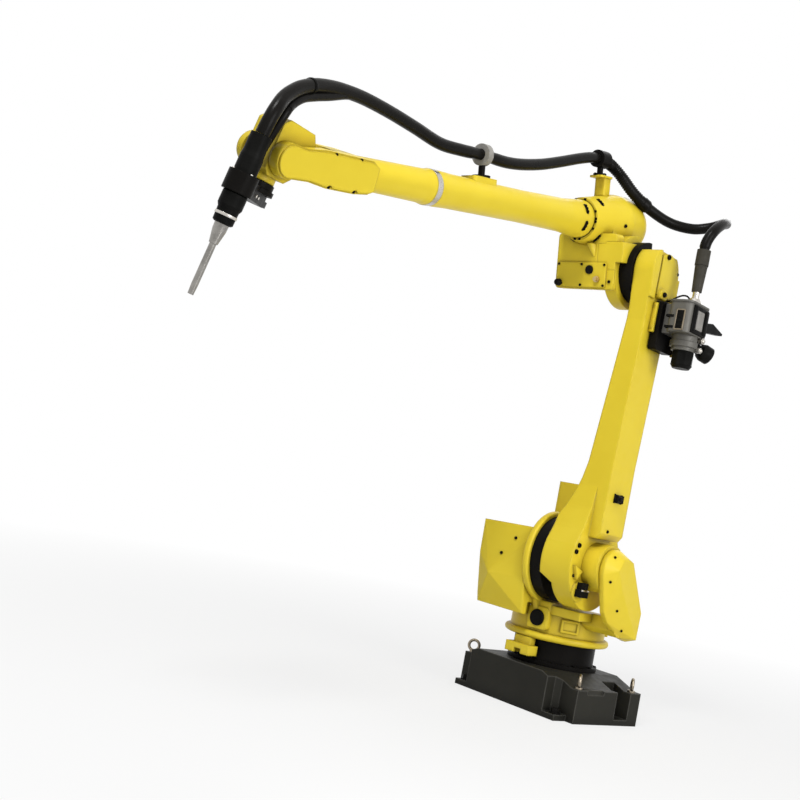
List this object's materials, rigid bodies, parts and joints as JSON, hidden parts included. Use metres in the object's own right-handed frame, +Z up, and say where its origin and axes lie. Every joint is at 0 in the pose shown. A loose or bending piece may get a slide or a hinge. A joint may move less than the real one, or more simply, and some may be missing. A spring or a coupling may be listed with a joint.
{
  "type": "six-axis industrial robot arm with welding torch",
  "caption": "Yellow jointed robot arm on a dark riser block, with turning base, lower arm, long forearm, forked wrist, welding torch, wire feeder and a black dress hose over the top",
  "frame": {"origin": "on the floor under the first axis, in the plane of the riser's underside", "axes": "+Z up along the first axis, +X to the riser's front, +Y to its left"},
  "size_m": [2.294, 0.8449, 2.1838],
  "materials": {
    "yellow_paint": "gloss yellow machine enamel on castings",
    "charcoal_paint": "charcoal enamel, satin",
    "black_metal": "black oxide and black paint",
    "bright_steel": "machined bright steel",
    "brass": "brass breather",
    "grey_plastic": "grey moulded ring",
    "grey_cast": "grey die casting",
    "black_rubber": "ribbed black hose rubber",
    "black_plastic": "black moulded plastic"
  },
  "bodies": {
    "base": {"riser_block": "charcoal_paint", "lifting_eyes": "bright_steel", "axis1_column": "black_metal"},
    "turret": {"turret_casing": "yellow_paint", "travel_stop": "yellow_paint", "front_plug": "black_rubber", "axis1_motor_cover": "yellow_paint", "axis2_motor_cover": "yellow_paint", "cable_bridge": "yellow_paint", "shoulder_seal": "black_metal"},
    "arm": {"lower_arm": "yellow_paint", "cable_tube": "yellow_paint", "hub_connector": "black_plastic", "elbow_cover": "yellow_paint", "feeder_plate": "black_metal", "feeder_housing": "grey_cast", "feeder_inlet": "bright_steel", "feeder_gearbox": "grey_cast", "feeder_motor": "black_plastic", "feeder_knob": "black_plastic", "feeder_lever": "black_plastic", "hose_sleeve": "black_rubber", "hose_rear": "black_rubber"},
    "elbow": {"elbow_housing": "yellow_paint", "elbow_seal": "black_metal", "elbow_box": "yellow_paint", "elbow_box_panel": "yellow_paint", "panel_grommet": "black_rubber", "panel_breather": "brass", "bump_stop": "black_rubber", "hose_post": "yellow_paint", "saddle_clamp": "black_metal", "forearm_tube": "yellow_paint", "ring_clamp_stand": "black_metal", "ring_clamp": "grey_plastic", "hose_front": "black_rubber"},
    "forearm": {"roll_ring": "bright_steel", "forearm_fork": "yellow_paint", "prong_covers": "yellow_paint"},
    "wrist": {"wrist_knuckle": "yellow_paint"},
    "tool": {"tool_flange": "black_metal", "torch_bracket": "black_metal", "torch_body": "black_plastic", "torch_neck": "bright_steel", "torch_nozzle": "bright_steel"}
  },
  "joints": [
    {"name": "axis1_turn", "type": "hinge", "parent": "base", "child": "turret", "pos_m": [0, 0, 0.26], "axis": [0, 0, 1], "range_deg": [-191, 169]},
    {"name": "axis2_lean", "type": "hinge", "parent": "turret", "child": "arm", "pos_m": [0.16197, 0.03148, 0.58], "axis": [-0.1908, 0.9816, 0], "range_deg": [-79, 91]},
    {"name": "axis3_elbow", "type": "hinge", "parent": "arm", "child": "elbow", "pos_m": [0.14227, 0.02765, 1.72982], "axis": [0.1908, -0.9816, 0], "range_deg": [-64, 161], "deforming": ["hose_rear"]},
    {"name": "axis4_roll", "type": "hinge", "parent": "elbow", "child": "forearm", "pos_m": [1.24287, 0.24159, 1.72506], "axis": [0.9667, 0.1879, -0.1736], "range_deg": [-135, 165], "deforming": ["hose_front"]},
    {"name": "axis5_bend", "type": "hinge", "parent": "forearm", "child": "wrist", "pos_m": [1.91474, 0.37219, 1.60437], "axis": [-0.2284, 0.9396, -0.2549], "range_deg": [-96, 44], "deforming": ["hose_front"]},
    {"name": "axis6_spin", "type": "hinge", "parent": "wrist", "child": "tool", "pos_m": [1.92572, 0.3513, 1.51752], "axis": [0.122, -0.2321, -0.965], "range_deg": [-76, 144], "deforming": ["hose_front"]}
  ]
}
